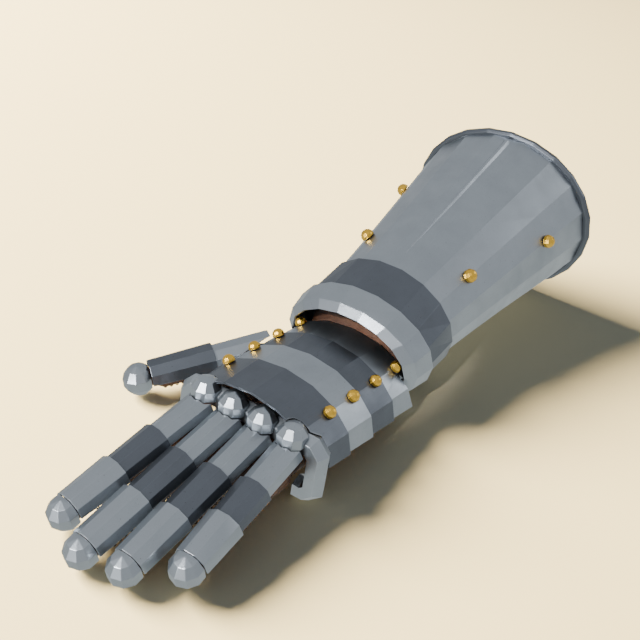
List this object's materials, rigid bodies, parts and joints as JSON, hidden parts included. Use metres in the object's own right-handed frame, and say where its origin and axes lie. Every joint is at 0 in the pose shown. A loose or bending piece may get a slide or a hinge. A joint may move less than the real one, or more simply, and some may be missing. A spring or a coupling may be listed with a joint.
{
  "type": "armoured gauntlet",
  "caption": "Left-hand plate gauntlet: flared steel cuff, banded wrist, overlapping hand plates, plated fingers and thumb over a leather glove.",
  "frame": {"origin": "middle of the overall length and width, on the surface it lies on", "axes": "fingers towards -Y, open cuff towards +Y, back of the hand towards +Z, little finger at +X and thumb at -X"},
  "size_m": [0.167, 0.4152, 0.1216],
  "materials": {
    "bright_steel": "bright polished steel with fine wear",
    "dark_steel": "heat-darkened steel, waxed",
    "brass": "satin brass",
    "brown_leather": "matt brown leather"
  },
  "bodies": {
    "root": {"cuff": "bright_steel", "cuff_rim": "dark_steel", "cuff_rivet_little_1": "brass", "cuff_rivet_little_2": "brass", "cuff_rivet_thumb_1": "brass", "cuff_rivet_thumb_2": "brass", "glove": "brown_leather", "hand_lame_1": "dark_steel", "hand_lame_2": "bright_steel", "hand_lame_3": "dark_steel", "hand_lame_4": "bright_steel", "hand_rivet_little_1": "brass", "hand_rivet_little_2": "brass", "hand_rivet_little_3": "brass", "hand_rivet_little_4": "brass", "hand_rivet_thumb_1": "brass", "hand_rivet_thumb_2": "brass", "hand_rivet_thumb_3": "brass", "hand_rivet_thumb_4": "brass", "index_knuckle": "bright_steel", "index_plate_distal": "bright_steel", "index_plate_middle": "dark_steel", "index_plate_proximal": "bright_steel", "index_tip": "bright_steel", "knuckle_bar": "bright_steel", "little_knuckle": "bright_steel", "little_plate_distal": "bright_steel", "little_plate_middle": "dark_steel", "little_plate_proximal": "bright_steel", "little_tip": "bright_steel", "middle_knuckle": "bright_steel", "middle_plate_distal": "bright_steel", "middle_plate_middle": "dark_steel", "middle_plate_proximal": "bright_steel", "middle_tip": "bright_steel", "ring_knuckle": "bright_steel", "ring_plate_distal": "bright_steel", "ring_plate_middle": "dark_steel", "ring_plate_proximal": "bright_steel", "ring_tip": "bright_steel", "thumb_plate_base": "bright_steel", "thumb_plate_front": "dark_steel", "thumb_tip": "bright_steel", "wrist_lame_dark": "dark_steel", "wrist_lame_light": "bright_steel"}
  },
  "joints": []
}
